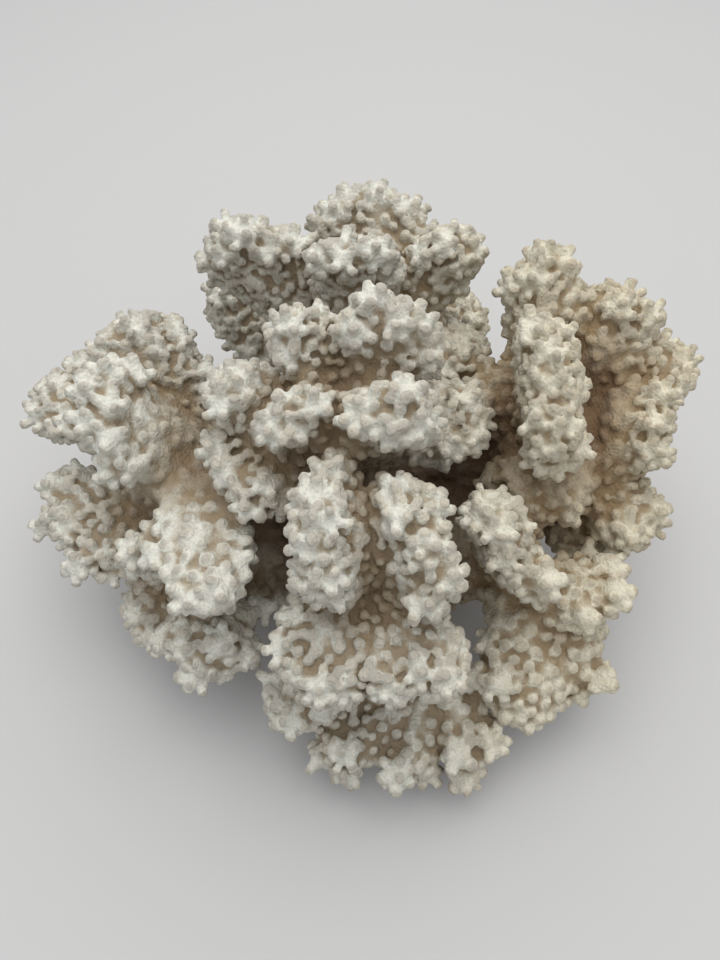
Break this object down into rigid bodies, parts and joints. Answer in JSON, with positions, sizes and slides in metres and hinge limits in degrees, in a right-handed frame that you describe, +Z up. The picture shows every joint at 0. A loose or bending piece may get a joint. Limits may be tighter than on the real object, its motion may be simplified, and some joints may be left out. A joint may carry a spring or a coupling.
{
  "type": "branching coral colony",
  "caption": "Dried branching coral of the cauliflower kind: a domed colony of flattened, knobbly lobes that fork from a foot cut off flat.",
  "frame": {"origin": "middle of the flat cut under the foot", "axes": "+Z up out of the cut, +X to the right along the colony's longest side, -Y to the front"},
  "size_m": [0.1752, 0.1517, 0.105],
  "materials": {
    "lobe": "matte, finely granular",
    "stem": "matte, finely granular",
    "foot": "matte, rough, sawn flat underneath"
  },
  "bodies": {
    "root": {"base": "foot", "lobe_back_front": "lobe", "lobe_back_inner": "lobe", "lobe_back_left": "lobe", "lobe_back_right": "lobe", "lobe_back_tall": "lobe", "lobe_front_broad": "lobe", "lobe_front_corner": "lobe", "lobe_front_hanging_left": "lobe", "lobe_front_hanging_right": "lobe", "lobe_front_left": "lobe", "lobe_front_left_side": "lobe", "lobe_front_middle": "lobe", "lobe_front_small": "lobe", "lobe_inner_left": "lobe", "lobe_inner_right": "lobe", "lobe_left_broad": "lobe", "lobe_left_corner": "lobe", "lobe_left_far": "lobe", "lobe_left_front": "lobe", "lobe_left_inner": "lobe", "lobe_left_under": "lobe", "lobe_left_upper": "lobe", "lobe_low_front_left": "lobe", "lobe_low_front_right": "lobe", "lobe_low_left": "lobe", "lobe_low_right": "lobe", "lobe_middle_left": "lobe", "lobe_middle_right": "lobe", "lobe_notch_lower": "lobe", "lobe_notch_upper": "lobe", "lobe_rear_far_left": "lobe", "lobe_rear_far_right": "lobe", "lobe_rear_left": "lobe", "lobe_rear_middle": "lobe", "lobe_rear_right": "lobe", "lobe_right_back": "lobe", "lobe_right_broad": "lobe", "lobe_right_far": "lobe", "lobe_right_inner": "lobe", "lobe_right_low": "lobe", "lobe_right_ridge": "lobe", "lobe_right_root": "lobe", "lobe_right_under": "lobe", "lobe_right_upper": "lobe", "lobe_side_front_right": "lobe", "lobe_top_front_left": "lobe", "lobe_top_front_right": "lobe", "lobe_top_left": "lobe", "lobe_top_right": "lobe", "lobe_top_side": "lobe", "stem_back": "stem", "stem_back_low": "stem", "stem_front": "stem", "stem_front_low": "stem", "stem_front_right": "stem", "stem_left": "stem", "stem_left_low": "stem", "stem_right": "stem", "stem_top": "stem"}
  },
  "joints": []
}
